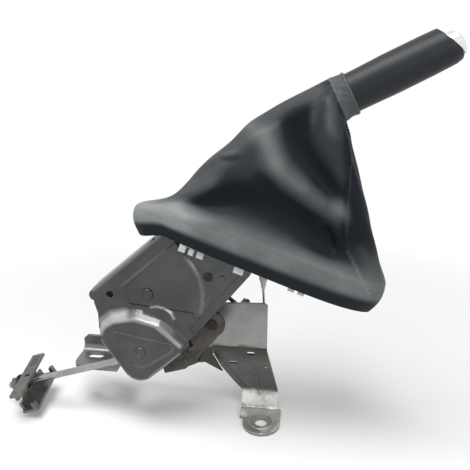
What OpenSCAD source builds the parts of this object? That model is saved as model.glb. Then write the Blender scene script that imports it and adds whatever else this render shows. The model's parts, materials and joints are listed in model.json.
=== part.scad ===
// Parking brake lever assembly with sheet metal base, ratchet, release button,
// pull rod, cable equalizer and leather boot. Millimetres.
// Origin: centre of the front foot hole on the floor plane, X forward, Z up.

/* [Base bracket] */
// Distance from the front foot hole back to the lever pivot
pivot_back = 108; // [104:1:112]
// Height of the lever pivot above the floor plane
pivot_height = 146; // [142:1:152]
// Thickness of the base sheet
base_sheet = 3; // [2.5:0.1:3.5]
// Clear width between the two base cheeks
cheek_gap = 16; // [15:0.5:18]
// Width of the front foot
foot_w = 38; // [34:1:42]
// Diameter of the front foot hole
foot_hole_d = 13.5; // [10:0.5:15]
// Width of the slot in the rear foot
rear_slot_w = 9.5; // [8:0.5:11]
// Length of the slot in the rear foot
rear_slot_l = 18; // [14:1:20]
// Height of the rear foot underside below the pivot
rear_foot_drop = 100.5; // [99:0.5:104]

/* [Lever] */
// Thickness of the lever half shells
lever_sheet = 2; // [1.5:0.1:2.5]
// Side gap between a base cheek and a lever half shell
side_gap = 2; // [1.5:0.1:3]
// Outward step of the lower lobes
lobe_rise = 8; // [6:0.5:9]
// Height of the stiffening sector pressed into each half shell
sector_rise = 1.6; // [1:0.1:2]
// Diameter of the pivot pin
pivot_d = 10; // [9:0.5:12]
// Diameter of the cable pin
cable_pin_d = 10; // [8:0.5:11]
// Diameter of the pawl pin
pawl_pin_d = 8; // [6:0.5:9]
// Diameter of the stop pin the lever rests on
stop_pin_d = 11; // [9:0.5:12]

/* [Ratchet] */
// Radius over the ratchet tooth tips
ratchet_r = 47; // [46:0.25:48]
// Height of a ratchet tooth
tooth_h = 2.4; // [1.5:0.1:3]
// Number of ratchet teeth
teeth = 14; // [11:1:16]
// Thickness of the ratchet sector and of the pawl
ratchet_t = 4; // [3:0.25:4.5]

/* [Grip] */
// Angle of the grip above level
grip_angle = 27; // [26:0.5:28]
// Diameter of the grip at the collar
grip_d = 33; // [32:0.5:35]
// Length of the grip forward of the collar
grip_len = 88; // [80:1:96]
// Diameter of the release button
button_d = 19; // [16:0.5:20]
// Height of the button's dome over the slanted end of the grip
button_out = 8.5; // [8:0.25:9.5]
// Diameter of the release rod
release_d = 5; // [4:0.5:6]

/* [Boot] */
// Length of the boot frame
boot_len = 239; // [231:1:247]
// Mean width of the boot frame
boot_w = 80; // [76:1:88]
// Height of the boot hem over the frame
hem_h = 26; // [22:1:30]
// Thickness of the boot leather
leather_t = 1.8; // [1.2:0.1:2.2]
// Width of the collar band
collar_w = 12; // [10:0.5:14]

/* [Pull rod and equalizer] */
// Diameter of the pull rod
rod_d = 7; // [6:0.5:8]
// Length of the equalizer along the car's width
yoke_len = 62; // [56:1:70]
// Height of the equalizer channel
yoke_h = 28; // [26:0.5:30]
// Depth of the equalizer channel
yoke_depth = 18; // [15:0.5:20]
// Thickness of the equalizer sheet
yoke_sheet = 3; // [2.5:0.1:3.5]

/* [Clearances] */
// Radial play of a turning pin in its bore
run_fit = 0.05; // [0.02:0.01:0.09]
// Gap between pieces that move past each other
free_gap = 0.4; // [0.35:0.05:0.6]

/* [Hidden] */
$fn = 64;

zinc = [0.60, 0.61, 0.62];
steel = [0.45, 0.46, 0.48];
rust = [0.42, 0.33, 0.27];
black = [0.10, 0.10, 0.11];
hide = [0.13, 0.15, 0.17];
chrome = [0.85, 0.86, 0.88];
plastic = [0.72, 0.73, 0.74];

// Half widths of the nested sheets, counted from the middle plane
ci = cheek_gap / 2;
co = ci + base_sheet;
li = co + side_gap;
lo = li + lever_sheet;
lobe_y = lo + lobe_rise;
leg_y = lobe_y + 3;
arm_y = leg_y + 16;

// Pin centres in the side view, counted from the pivot
cable_at = [-8.3, -58.8];
pawl_at = [58.1, 19.7];
// The lever's front lower edge: its slope, and its distance from the pivot
edge_dir = [cos(51), sin(51)];
edge_nrm = [sin(51), -cos(51)];
edge_far = 60.4;
stop_at = edge_far * edge_nrm + 14 * edge_dir + (stop_pin_d / 2 + 0.02) * edge_nrm;

// Collar centre and grip axis in the side view
collar_at = [178.2, 184.4];
grip_axis = [cos(grip_angle), sin(grip_angle)];
tube_r = 10;
end_slant = 25;

// Side view outline helpers
function edge_pt(s, out = 0) = (edge_far + out) * edge_nrm + s * edge_dir;
function polar(r, a) = [r * cos(a), r * sin(a)];
function arc(r, a0, a1, n = 24) = [for (i = [0:n]) polar(r, a0 + (a1 - a0) * i / n)];
function unit(v) = v / norm(v);
function right_of(d) = [d[1], -d[0]];
function side_at(p, i) = unit(
    (i > 0 ? right_of(unit(p[i] - p[i - 1])) : [0, 0])
    + (i < len(p) - 1 ? right_of(unit(p[i + 1] - p[i])) : [0, 0]));
function band(p, w) = concat(p, [for (i = [len(p) - 1:-1:0]) p[i] + w * side_at(p, i)]);

// A flat side view shape given thickness across the car
module xz(y0, t) translate([0, y0 + t, 0]) rotate([90, 0, 0]) linear_extrude(t) children();
// A round pin across the car
module ypin(p, y0, y1, r) translate([p[0], y1, p[1]]) rotate([90, 0, 0]) cylinder(h = y1 - y0, r = r);
// A round bar in the middle plane
module bar(p, q, r) {
    d = q - p;
    translate([p[0], 0, p[1]]) rotate([0, atan2(d[0], d[1]), 0]) cylinder(h = norm(d), r = r);
}
// Slightly swollen bend of a round bar
module knuckle(p, r) translate([p[0], 0, p[1]]) sphere(r = 1.06 * r);
module at_pivot() translate([-pivot_back, 0, pivot_height]) children();
// Local X runs up the grip axis from the collar centre
module at_collar() at_pivot() translate([collar_at[0], 0, collar_at[1]])
    rotate([0, -grip_angle, 0]) children();
module along(s0, s1, r) translate([s0, 0, 0]) rotate([0, 90, 0]) cylinder(h = s1 - s0, r = r);
module turned(p) rotate([0, 90, 0]) rotate_extrude() polygon(p);

// Base bracket

// C shaped cheek: an upper arm to the pivot and a lower arm under the cable pin's path
module cheek_2d() {
    difference() {
        union() {
            circle(r = 16);
            polygon([[-4, 15.4], [52, -16], [73, -31], [63, -47], [50, -62], [46, -69],
                     [33, -81], [12, -87.5], [8, -70], [30, -40], [-9, -13]]);
            translate(stop_at) circle(r = 13);
        }
        polygon(concat(arc(51.5, -130, -52), arc(68.5, -52, -130)));
        circle(d = pivot_d);
        translate(stop_at) circle(d = stop_pin_d);
    }
}

rivet_spots = [[26, -6], [41, -14]];
leg_top = -63;
leg_knee = [leg_y + 2, 21 - pivot_height];
leg_lean = atan2(leg_knee[0] - ci, leg_top - leg_knee[1]);
leg_len = norm([leg_knee[0] - ci, leg_top - leg_knee[1]]);

module base_far_cheek() color(zinc) at_pivot() difference() {
    union() {
        xz(ci, base_sheet) cheek_2d();
        xz(ci, base_sheet) polygon([[57, -17], [109, -14.5], [112, -17], [112, leg_top], [57, leg_top]]);
    }
    ypin(stop_at, ci - 1, co + 1, stop_pin_d / 2);
    for (p = rivet_spots) ypin(p, ci - 1, co + 1, 3);
    for (p = screw_spots) ypin(p, co - 1.5, co + 1, screw_r);
}

// Front leg: leans back below the cheek, bends forward at the toe and ends in the foot
leg_edge = [[58, 4], [58, -14], [64, -30], [pivot_back - foot_w / 2 - 13, -leg_len + 14], [pivot_back - foot_w / 2 - 4, -leg_len]];
toe_r = 3;
module base_front_leg() color(zinc) {
    half = foot_w / 2;
    knee_z = leg_knee[1] + pivot_height;
    difference() {
        at_pivot() translate([0, ci, leg_top]) rotate([leg_lean, 0, 0]) difference() {
            union() {
                xz(0, base_sheet) polygon(concat(
                    [[112, 4], [112, -6], [pivot_back + half - 4, -leg_len]], [for (i = [4:-1:0]) leg_edge[i]]));
                // Raised bend line along the rear edge, and the middle rib
                xz(-1.2, 2) polygon(band([for (i = [1:4]) leg_edge[i] + [6, 2]], 1.8));
                xz(-1.2, 2) polygon([[98, -34], [102, -34], [104, -leg_len + 4], [100, -leg_len + 4]]);
            }
            translate([95.5, -1, -9]) cube([7, 20, 5], center = true);
            translate([77, -1, -24]) cube([8, 20, 4], center = true);
            translate([111, -1, -30]) cube([4, 20, 4], center = true);
        }
        at_pivot() translate([0, -40, leg_top]) cube([200, 100, 20]);
    }
    // Toe with a rounded crease where it meets the foot
    toe_y = leg_y - 2;
    translate([-half - 4, 0, 0]) rotate([90, 0, 90]) linear_extrude(foot_w)
        polygon(concat([[leg_knee[0] - 0.1, knee_z + 0.2], [leg_knee[0] + base_sheet, knee_z + 0.8], [toe_y + base_sheet + 0.6, 0],
                        [toe_y - 8, 0], [toe_y - 8, base_sheet]],
                       [for (a = [-90:10:-10]) [toe_y - toe_r, base_sheet + toe_r] + polar(toe_r, a)]));
    translate([leg_knee[0] > 0 ? -half - 4 : 0, leg_knee[0] + 0.4, knee_z - 9]) difference() {
        for (x = [8, 17]) translate([x, -1.6, 0]) cube([2, 2, 9]);
        translate([0, -4.5, -1]) rotate([12, 0, 0]) cube([40, 2, 14]);
    }
    linear_extrude(base_sheet) difference() {
        union() {
            circle(d = foot_w);
            translate([-half, 0]) square([foot_w, 8]);
            translate([-half - 4, 7]) square([foot_w + 4, toe_y - 8]);
        }
        circle(d = foot_hole_d);
    }
    translate([0, 0, base_sheet - 1]) difference() {
        cylinder(h = 1.5, d = foot_hole_d + 11);
        translate([0, 0, -1]) cylinder(h = 4, d = foot_hole_d + 8);
    }
}

// Rear arm: a shelf off the far cheek, a plate outside the lever and the rear foot,
// which reaches back under the pull rod
bend_r = 7;
rear_x0 = -94;
rear_x1 = -44;
module base_rear_arm() color(zinc) at_pivot() {
    foot_top = base_sheet - rear_foot_drop;
    y0 = rod_d / 2 + 1;
    translate([70, co, leg_top + 4]) cube([30, arm_y + base_sheet - co, base_sheet]);
    xz(arm_y, base_sheet) polygon([[100, leg_top + 7], [70, leg_top + 7], [40, -74], [-70, -81], [rear_x0 + 4, -81],
        [rear_x0, -85], [rear_x0, foot_top + bend_r], [rear_x1, foot_top + bend_r], [20, -96], [46, -95],
        [62, -88], [100, leg_top + 2]]);
    difference() {
        intersection() {
            translate([rear_x0, 0, 0]) rotate([90, 0, 90]) linear_extrude(rear_x1 - rear_x0) polygon(concat(
                [[y0, -rear_foot_drop]],
                [for (a = [-90:10:0]) [arm_y - bend_r, foot_top + bend_r] + polar(bend_r + base_sheet, a)],
                [for (a = [0:-10:-90]) [arm_y - bend_r, foot_top + bend_r] + polar(bend_r, a)],
                [[y0, foot_top]]));
            translate([0, 0, -120]) linear_extrude(80) union() {
                translate([rear_x0 + 14, y0]) square([40, 50]);
                translate([rear_x0, y0 + 14]) square([20, 50]);
                translate([rear_x0 + 14, y0 + 14]) circle(r = 14);
            }
        }
        translate([rear_x0 + 18, arm_y - bend_r - rear_slot_w / 2 - 1, -130]) linear_extrude(60) {
            half = (rear_slot_l - rear_slot_w) / 2;
            translate([-half, 0]) circle(d = rear_slot_w);
            translate([half, 0]) circle(d = rear_slot_w);
            square([2 * half, rear_slot_w], center = true);
        }
    }
}

module base_near_cheek() color(rust) at_pivot() {
    xz(-co, base_sheet) cheek_2d();
    // Bottom web joining the two cheeks
    xz(-ci, 2 * ci) polygon(concat(arc(84.5, -80, -58, 8), arc(87.3, -58, -80, 8)));
}

// Ratchet

tooth_a0 = 4;
tooth_pitch = 3.4;
module ratchet_sector() color(steel) at_pivot() {
    root = ratchet_r - tooth_h;
    last = tooth_a0 + teeth * tooth_pitch;
    y0 = ci - ratchet_t;
    difference() {
        union() {
            xz(y0, ratchet_t) polygon(concat([[0, 8]], arc(root, tooth_a0 - 6, last + 3, 40)));
            for (i = [0:teeth - 1]) {
                a = tooth_a0 + i * tooth_pitch;
                xz(y0, ratchet_t) polygon([polar(root - 1, a), polar(ratchet_r, a + 0.3),
                    polar(ratchet_r, a + 1), polar(root - 0.5, a + tooth_pitch)]);
            }
            xz(y0, ratchet_t) polygon([[0, 12], [44, 2], [50, -14], [44, -24], [0, -12]]);
            ypin([0, 0], y0, ci, 14);
        }
        ypin([0, 0], y0 - 1, ci + 1, pivot_d / 2 + 0.5);
        for (p = rivet_spots) ypin(p, y0 - 1, ci + 1, 3);
    }
}

module sector_rivets() color(zinc) at_pivot() for (p = rivet_spots) {
    ypin(p, ci - ratchet_t - 1.5, ci - ratchet_t, 5);
    ypin(p, ci - ratchet_t, co, 3);
    ypin(p, co, co + 1.2, 5);
}

// End of a riveted pin: a low collar with a dimple
module staked_end(p, y0, s, r) difference() {
    translate([p[0], y0, p[1]]) rotate([-90 * s, 0, 0]) cylinder(h = 1, r1 = r, r2 = r - 0.6);
    translate([p[0], y0 + s * 0.4, p[1]]) rotate([-90 * s, 0, 0]) cylinder(h = 2, r1 = r - 2.6, r2 = r - 1.8);
}

module pivot_pin() color(zinc) at_pivot() {
    head = lo + sector_rise + free_gap;
    ypin([0, 0], -head, head, pivot_d / 2);
    for (s = [-1, 1]) staked_end([0, 0], s * head, s, pivot_d / 2 + 0.8);
}

module pivot_bushes() color(steel) at_pivot() for (s = [-1, 1]) difference() {
    ypin([0, 0], s > 0 ? co : -li + free_gap, s > 0 ? li - free_gap : -co, pivot_d / 2 + 4);
    ypin([0, 0], -lo, lo, pivot_d / 2);
}

// The pin ends short of the lever shells, whose inward tabs rest on it
module stop_pin() color(zinc) at_pivot() {
    half = (co + li) / 2;
    ypin(stop_at, -half, half, stop_pin_d / 2);
    for (s = [-1, 1]) translate([stop_at[0], s * half, stop_at[1]])
        rotate([s > 0 ? -90 : 90, 0, 0]) cylinder(h = side_gap / 2 - free_gap, r1 = stop_pin_d / 2, r2 = stop_pin_d / 2 - 1.5);
}

// Warning switch behind the far cheek
switch_y = li + lever_sheet / 2;
plunger_tip = edge_pt(36, free_gap);
plunger_d = 4;
// Local X runs from the plunger tip down into the switch body
module at_switch() at_pivot() translate([plunger_tip[0], switch_y, plunger_tip[1]])
    rotate([0, 39, 0]) children();

module switch_body() color(black) {
    difference() {
        at_switch() translate([17, co - switch_y, -7]) cube([24, 11, 14]);
        at_switch() along(10, 34, plunger_d / 2 + 0.06);
        at_pivot() translate([0, stalk_y, 0]) bar(stalk_path[0], stalk_path[1], stalk_r);
        at_pivot() for (p = screw_spots) ypin(p, co - 1, co + 13, screw_r);
    }
}

module switch_screws() color(zinc) at_pivot() for (p = screw_spots) {
    ypin(p, co - 1.5, co + 11, screw_r);
    ypin(p, co + 11, co + 13, 3.2);
}

switch_dir = [cos(39), -sin(39)];
screw_r = 1.6;
screw_spots = [plunger_tip + 22 * switch_dir - 4.6 * right_of(switch_dir),
               plunger_tip + 36 * switch_dir + 4.6 * right_of(switch_dir)];
stalk_path = [plunger_tip + 36 * switch_dir, plunger_tip + 50 * switch_dir, [106.4, -4]];
stalk_y = co + 8.5;
stalk_r = 1.1;
module switch_stalk() color(steel) at_pivot() translate([0, stalk_y, 0]) {
    for (i = [0:1]) bar(stalk_path[i], stalk_path[i + 1], stalk_r);
    knuckle(stalk_path[1], 1.1 * stalk_r);
}

module switch_cap() color(plastic) at_pivot() translate([106.4, stalk_y, -4]) {
    cylinder(h = 7, r1 = 1.6, r2 = 2.9);
    translate([0, 0, 7]) cylinder(h = 4, r1 = 2.9, r2 = 4.2);
    translate([0, 0, 11]) cylinder(h = 14, r = 4.2);
}

module switch_plunger() color(plastic) at_switch() {
    along(2, 30, plunger_d / 2);
    translate([2, 0, 0]) sphere(r = plunger_d / 2);
}

// Lever half shells

lever_top = [[-56, 0.5], [10.5, 57.2], [80, 127]];
module lever_side_2d() {
    polygon([[-54, 2], [10.5, 57.2], [80, 127], [118, 151], [138, 160], [150, 148],
             [130, 100], edge_pt(79.6), edge_pt(-3.9), [30, -56], [-10, -60], [-40, -58],
             [-51, -40], [-51, -24], [-54, -13]]);
    translate([-52.4, -4.6]) circle(r = 6.2);
}

// Rounded outline of the lobe: four corner circles
lobe_base = [[-31, -41, 19.5], [-12, -37, 20.5], [6, -40, 18], [30, -52, 9], [-10.2, -74, 18.5]];
lobe_face = [[-31, -44, 16], [-12, -40, 15.5], [6, -43, 13.5], [27, -54, 6], [-10.2, -74, 16.5]];
module lobe_hull(low, high, cut) hull() {
    for (c = lobe_base) ypin([c[0], c[1]], -low - 0.1, cut > 0 ? -li + 1 : -li, c[2] - cut, $fn = 32);
    for (c = lobe_face) ypin([c[0], c[1]], -high, -high + 0.1, c[2] - cut, $fn = 32);
}

// Raised triangle on the lobe face, its lower corner at the cable pin
module lobe_mark(high, cut) hull() {
    for (c = [[-33, -45, 7], [20, -52, 5], [-8.3, -66, 9]]) {
        ypin([c[0], c[1]], -lobe_y, -lobe_y + 0.1, c[2] - cut, $fn = 32);
        ypin([c[0], c[1]], -high, -high + 0.1, c[2] - 1 - cut, $fn = 32);
    }
}

// Stiffening sector concentric with the pivot
module sector_2d(k) translate([12, 17]) scale(k) translate([-12, -17])
    polygon(concat([[-22.2, 4.9], [-19, -12]], arc(55, -20, 45, 16), [[29.9, 54.3]]));
module sector_hull() hull() {
    xz(-lo, 0.6) sector_2d(1);
    xz(-lo - sector_rise, 0.1) sector_2d(0.94);
}

nub_spots = [[71.3, 18.9], [58.3, -3], [46.6, -19.3]];
roll_r = 4;
// What is taken off the sharp corner to leave a rolled top edge
module roll_cut() {
    d = unit(lever_top[1] - lever_top[0]);
    translate([lever_top[0][0], -lo, lever_top[0][1]]) rotate([0, -atan2(d[1], d[0]), 0])
        translate([-20, 0, 0]) rotate([90, 0, 90]) linear_extrude(norm(lever_top[1] - lever_top[0]) + 18)
            difference() {
                translate([-1, -roll_r]) square([roll_r + 1, roll_r + 1]);
                translate([roll_r, -roll_r]) circle(r = roll_r);
            }
}
module lever_half() {
    difference() {
        union() {
            xz(-lo, lever_sheet) lever_side_2d();
            xz(-li, li) polygon(band(lever_top, lever_sheet));
            xz(-li, side_gap - free_gap) polygon(band([edge_pt(4), edge_pt(24)], -lever_sheet));
            xz(-li, 5) polygon(band([edge_pt(32), edge_pt(79.6), [130, 100]], -lever_sheet));
            lobe_hull(lo, lobe_y, 0);
            lobe_mark(lobe_y + 1, 0);
            sector_hull();
            xz(-lo - 0.9, 1) polygon(band([edge_pt(-2), edge_pt(79.6), [130, 100]], -7.5));
            for (p = nub_spots) ypin(p, -lo - 1.2, -lo, 3.2);
            // Round boss rising over the lobe
            translate([9, -lo, -29]) rotate([90, 0, 0]) cylinder(h = 2.4, r1 = 18.5, r2 = 16);
        }
        lobe_hull(lo - lever_sheet, lobe_y - lever_sheet, lever_sheet);
        translate([0, lever_sheet, 0]) sector_hull();
        ypin([0, 0], -lo - 4, 0, pivot_d / 2 + run_fit);
        ypin(cable_at, -lobe_y - 3, 0, cable_pin_d / 2);
        ypin(pawl_at, -lo - 4, 0, pawl_pin_d / 2);
        roll_cut();
        ypin([-37.7, -3.3], -lo - 2, -li + 1, 3.5);
        for (p = seam_spots) ypin(p, -lo - 2, -li + 1, 3);
    }
}

module lever_plate_near() color(zinc) at_pivot() lever_half();
module lever_plate_far() color(zinc) at_pivot() mirror([0, 1, 0]) lever_half();

seam_spots = [[88, 106], [112, 92]];
module seam_rivets() color(zinc) at_pivot() for (p = seam_spots) {
    ypin(p, -lo, lo, 3);
    ypin(p, -lo - 1, -lo, 5);
    ypin(p, lo, lo + 1, 5);
}

module pawl_pin() color(rust) at_pivot() {
    ypin(pawl_at, -lo, lo, pawl_pin_d / 2);
    for (s = [-1, 1]) staked_end(pawl_at, s * lo, s, pawl_pin_d / 2 + 0.8);
}

module cable_pin() color(zinc) at_pivot() {
    far = lobe_y + 1;
    ypin(cable_at, -far, far, cable_pin_d / 2);
    for (s = [-1, 1]) staked_end(cable_at, s * far, s, cable_pin_d / 2 + 0.8);
}

module lever_tube() color(steel) at_collar() turned([
    [tube_r - 2, grip_len - 24], [tube_r, grip_len - 24], [tube_r, -14], [li, -24], [li, -40],
    [li - 2, -40], [li - 2, -25], [tube_r - 2, -15]]);

// Grip

// Everything forward of the grip's slanted end, its upper part further back
face_s = grip_len - 3.4;
module end_cut(d) translate([face_s, 0, 0]) rotate([0, -end_slant, 0])
    translate([d, -40, -40]) cube([80, 80, 80]);

module grip() color(black) at_collar() difference() {
    r = grip_d / 2;
    turned([[0, -10], [r - 0.6, -10], [r, -8], [r, 8], [r + 0.4, 34], [r, 64],
            [r - 0.7, grip_len - 6], [r - 2, grip_len - 1], [r - 5, grip_len + 1.2], [0, grip_len + 1.2]]);
    along(-20, grip_len - 24, tube_r);
    along(grip_len - 25, grip_len + 19, button_d / 2 + free_gap);
    end_cut(0);
}

module button_bezel() color(chrome) at_collar() difference() {
    along(face_s - 8, face_s + 12, button_d / 2 + 2.6);
    along(face_s - 9, face_s + 13, button_d / 2 + free_gap);
    end_cut(1);
    translate([face_s, 0, 0]) rotate([0, -end_slant, 0]) translate([-80, -40, -40]) cube([80, 80, 80]);
}

module release_button() color(chrome) at_collar() difference() {
    union() {
        along(grip_len - 14, face_s - 1, button_d / 2);
        intersection() {
            along(face_s - 4, grip_len + 20, button_d / 2);
            translate([face_s + (button_out - 15) * cos(end_slant), 0, (button_out - 15) * sin(end_slant)])
                sphere(r = 15);
        }
    }
    along(grip_len - 15, grip_len - 8, release_d / 2);
}

rod_bend = collar_at - 64 * grip_axis;
tail_top = [66, 42];
rod_end = tail_top + [release_d / 2 + 3.4, 0];
module release_rod() color(steel) {
    at_collar() along(-64, grip_len - 8, release_d / 2);
    at_collar() along(grip_len - 22, grip_len - 18, 7);
    at_pivot() {
        knuckle(rod_bend, release_d / 2);
        bar(rod_end, rod_bend, release_d / 2);
        // Turned end that pushes the pawl's tail
        ypin(rod_end, -release_d / 2, ci + 1, release_d / 2);
    }
}

// Closed helix of round wire along local Z
function helix_pt(r, w, pitch, a, b) = [(r + w * cos(b)) * cos(a), (r + w * cos(b)) * sin(a),
                                        w * sin(b) + pitch * a / 360];
module helix(r, w, pitch, turns) {
    n = 16 * turns;
    m = 8;
    pts = [for (i = [0:n]) for (j = [0:m - 1]) helix_pt(r, w, pitch, 360 * i / 16, -360 * j / m)];
    quads = [for (i = [0:n - 1]) for (j = [0:m - 1])
        [i * m + j, i * m + (j + 1) % m, (i + 1) * m + (j + 1) % m, (i + 1) * m + j]];
    ends = [[for (j = [m - 1:-1:0]) j], [for (j = [0:m - 1]) n * m + j]];
    polyhedron(pts, concat(quads, ends));
}

module button_spring() color(steel) at_collar() translate([grip_len - 62, 0, 0])
    rotate([0, 90, 0]) helix(tube_r - 2.7, 0.6, 3, 9);

module pawl_spring() color(steel) at_pivot() translate([pawl_at[0], -1, pawl_at[1]])
    rotate([90, 0, 0]) helix(pawl_pin_d / 2 + 1.2, 0.6, 1.6, 4);

// Pawl riding over the ratchet, pushed clear by the release rod
module pawl() color(steel) at_pivot() {
    y0 = ci - ratchet_t;
    difference() {
        union() {
            ypin(pawl_at, y0, ci, pawl_pin_d / 2 + 5);
            xz(y0, ratchet_t) polygon([polar(ratchet_r - 2, 8), polar(ratchet_r - 2, 11),
                pawl_at + [-7, 4], pawl_at + [3, -8], polar(ratchet_r + 5, 5)]);
            xz(y0, ratchet_t) polygon([pawl_at + [-7, 2], tail_top + [-3, 4], tail_top + [3, 4],
                pawl_at + [8, 2]]);
        }
        ypin(pawl_at, y0 - 1, ci + 1, pawl_pin_d / 2 + run_fit);
        ypin([0, 0], y0 - 1, ci + 1, ratchet_r + free_gap);
    }
}

// Boot

// Boot frame plane: nose down pitch, far side lower
pitch = 18.8;
roll = 7;
// Rear end of the frame, behind the lever, from which the boot's length runs forward
frame_at = [-14.549173, 72.221501];
module at_frame() at_pivot() translate([frame_at[0], 0, frame_at[1]])
    rotate([0, pitch, 0]) rotate([-roll, 0, 0]) children();
function from_frame(p) =
    let (y1 = p[1] * cos(roll) + p[2] * sin(roll), z1 = -p[1] * sin(roll) + p[2] * cos(roll))
    [frame_at[0] + p[0] * cos(pitch) + z1 * sin(pitch), y1,
     frame_at[1] - p[0] * sin(pitch) + z1 * cos(pitch)];
// Rounded outline of the frame, inset by d
function soft(c) = sign(c) * pow(abs(c), 0.74);
function ring_pt(a, d) = [boot_len / 2 + (boot_len / 2 - d) * soft(cos(a)),
                          (boot_w / 2 + 4 * soft(cos(a)) - d) * soft(sin(a))];
function ring(d, n = 72) = [for (i = [0:n - 1]) ring_pt(360 * i / n, d)];
function collar_pt(a, s, r) =
    let (c = collar_at + s * grip_axis + r * cos(a) * right_of(grip_axis)) [c[0], r * sin(a), c[1]];
function hem_pt(a, z, d) = let (q = ring_pt(a, d)) from_frame([q[0], q[1], z]);
boot_top_s = -collar_w / 2 - 1;
boot_top_r = grip_d / 2 + 2.5;
// The leather surface: v below 0 is the hem, v from 0 to 1 rises to the collar
function hem_in(v) = turn_in * pow(-v, 3) - 2.2 * sin(-180 * v) + (1 + v);
turn_in = 4;
// How far the leather is drawn in above the hem, at the rear ridge, the sides and the front
rear_pull = [[0, 2], [0.07, 13], [0.15, 15], [0.25, 11], [0.47, 4], [0.64, -5], [0.75, -3], [1, 0]];
side_pull = [[0, 1], [0.12, 5.5], [0.3, 5], [0.6, 1.5], [1, 0]];
front_pull = [[0, 1], [0.12, 4], [0.5, 1.5], [0.86, 4], [1, 0]];
function pull(a, v) = let (c = cos(a), r = max(0, -c) * max(0, -c), f = max(0, c) * max(0, c))
    r * lookup(v, rear_pull) + f * lookup(v, front_pull) + (1 - r - f) * lookup(v, side_pull);
function boot_pt(a, v, d) = v < 0 ? hem_pt(a, hem_h * (1 + v), d + hem_in(v))
    : let (k = pull(a, v)) (1 - v) * hem_pt(a, hem_h, d + k) + v * collar_pt(a, boot_top_s, boot_top_r - d - k);
rows = [-1, -0.8, -0.6, -0.4, -0.2, 0, 0.07, 0.15, 0.25, 0.36, 0.47, 0.56, 0.64, 0.75, 0.86, 1];
module boot_panel(a0, a1, n) {
    m = len(rows);
    pts = concat(
        [for (i = [0:n]) for (v = rows) boot_pt(a0 + (a1 - a0) * i / n, v, 0)],
        [for (i = [0:n]) for (v = rows) boot_pt(a0 + (a1 - a0) * i / n, v, leather_t)]);
    k = (n + 1) * m;
    outer = [for (i = [0:n - 1]) for (j = [0:m - 2]) for (t = [
        [i * m + j, i * m + j + 1, (i + 1) * m + j + 1],
        [i * m + j, (i + 1) * m + j + 1, (i + 1) * m + j]]) t];
    inner = [for (t = outer) [k + t[2], k + t[1], k + t[0]]];
    low = [for (i = [0:n - 1]) [i * m, (i + 1) * m, k + (i + 1) * m, k + i * m]];
    top = [for (i = [0:n - 1]) [k + i * m + m - 1, k + (i + 1) * m + m - 1, (i + 1) * m + m - 1, i * m + m - 1]];
    side0 = [for (j = [0:m - 2]) [j, k + j, k + j + 1, j + 1]];
    side1 = [for (j = [0:m - 2]) [n * m + j, n * m + j + 1, k + n * m + j + 1, k + n * m + j]];
    polyhedron(pts, concat(outer, inner, low, top, side0, side1));
}

seam_front = 38;
seam_rear = 148;
module boot_panel_near() color(hide) at_pivot() boot_panel(-seam_rear, -seam_front, 20);
module boot_panel_far() color(hide) at_pivot() boot_panel(seam_front, seam_rear, 20);
module boot_panel_front() color(hide) at_pivot() boot_panel(-seam_front, seam_front, 14);
module boot_panel_rear() color(hide) at_pivot() boot_panel(seam_rear, 360 - seam_rear, 12);

module boot_collar() color(hide) at_collar() {
    r = grip_d / 2;
    h = collar_w / 2;
    turned([[r, -h], [r + 2.2, -h], [r + 2.7, -h + 1.5], [r + 2.3, -h + 3.4], [r + 1.7, -h + 4.2],
            [r + 1.9, h - 3.6], [r + 2.6, h - 2], [r + 2, h - 0.3], [r + 1, h], [r, h]]);
}

frame_wall = 3;
frame_in = turn_in + leather_t + 0.5;
frame_h = 14;
module boot_frame() color(black) at_frame() {
    linear_extrude(frame_h) difference() {
        polygon(ring(frame_in));
        polygon(ring(frame_in + frame_wall));
    }
}

// Clips along the frame: place, width, height, and how many notches split them
clip_sizes = [[65, 23, 9, 2], [110, 9, 9, 0], [163, 15, 7, 1]];
// Half width of the frame wall's middle line at a distance from its rear end
wall_mid = frame_in + frame_wall / 2;
function wall_y(x) =
    let (c = (x - boot_len / 2) / (boot_len / 2 - wall_mid), k = pow(abs(c), 1 / 0.74))
    (boot_w / 2 + 4 * c - wall_mid) * pow(sqrt(1 - k * k), 0.74);
module boot_clips() color(plastic) at_frame() for (c = clip_sizes) for (s = [-1, 1]) {
    slope = 4 / (boot_len / 2);
    translate([c[0], s * wall_y(c[0]), -c[2]]) rotate([0, 0, s * atan(slope)]) difference() {
        translate([-c[1] / 2, -1, 0]) cube([c[1], 2, c[2]]);
        if (c[3] > 0) for (i = [1:c[3]])
            translate([c[1] * (i / (c[3] + 1) - 0.5) - 1.6, -2, -1]) cube([3.2, 4, c[2] - 2]);
    }
}

// Pull rod and equalizer

rod_knee = [-46.8, -86.5];
yoke_at = [-143.6, -118.2];
rod_dir = unit(rod_knee - yoke_at);
paddle_up = -right_of(unit(cable_at - rod_knee));
rod_tilt = atan2(rod_dir[1], rod_dir[0]);
// Local X runs along the rod from the equalizer toward the lever
module at_yoke() at_pivot() translate([yoke_at[0], 0, yoke_at[1]]) rotate([0, -rod_tilt, 0]) children();

module pull_rod() color(zinc) at_pivot() {
    difference() {
        union() {
            ypin(cable_at, -4, 4, cable_pin_d / 2 + 4.5);
            bar(rod_knee, cable_at, rod_d / 2);
            xz(-3, 6) polygon([rod_knee + 2.6 * paddle_up, cable_at + 8 * paddle_up,
                               cable_at - 9 * paddle_up, cable_at * 0.5 + rod_knee * 0.5 - 8 * paddle_up,
                               rod_knee - 3 * paddle_up]);
            bar(yoke_at - 20 * rod_dir, rod_knee, rod_d / 2);
            knuckle(rod_knee, rod_d / 2);
        }
        ypin(cable_at, -10, 10, cable_pin_d / 2 + run_fit);
    }
}

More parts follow.
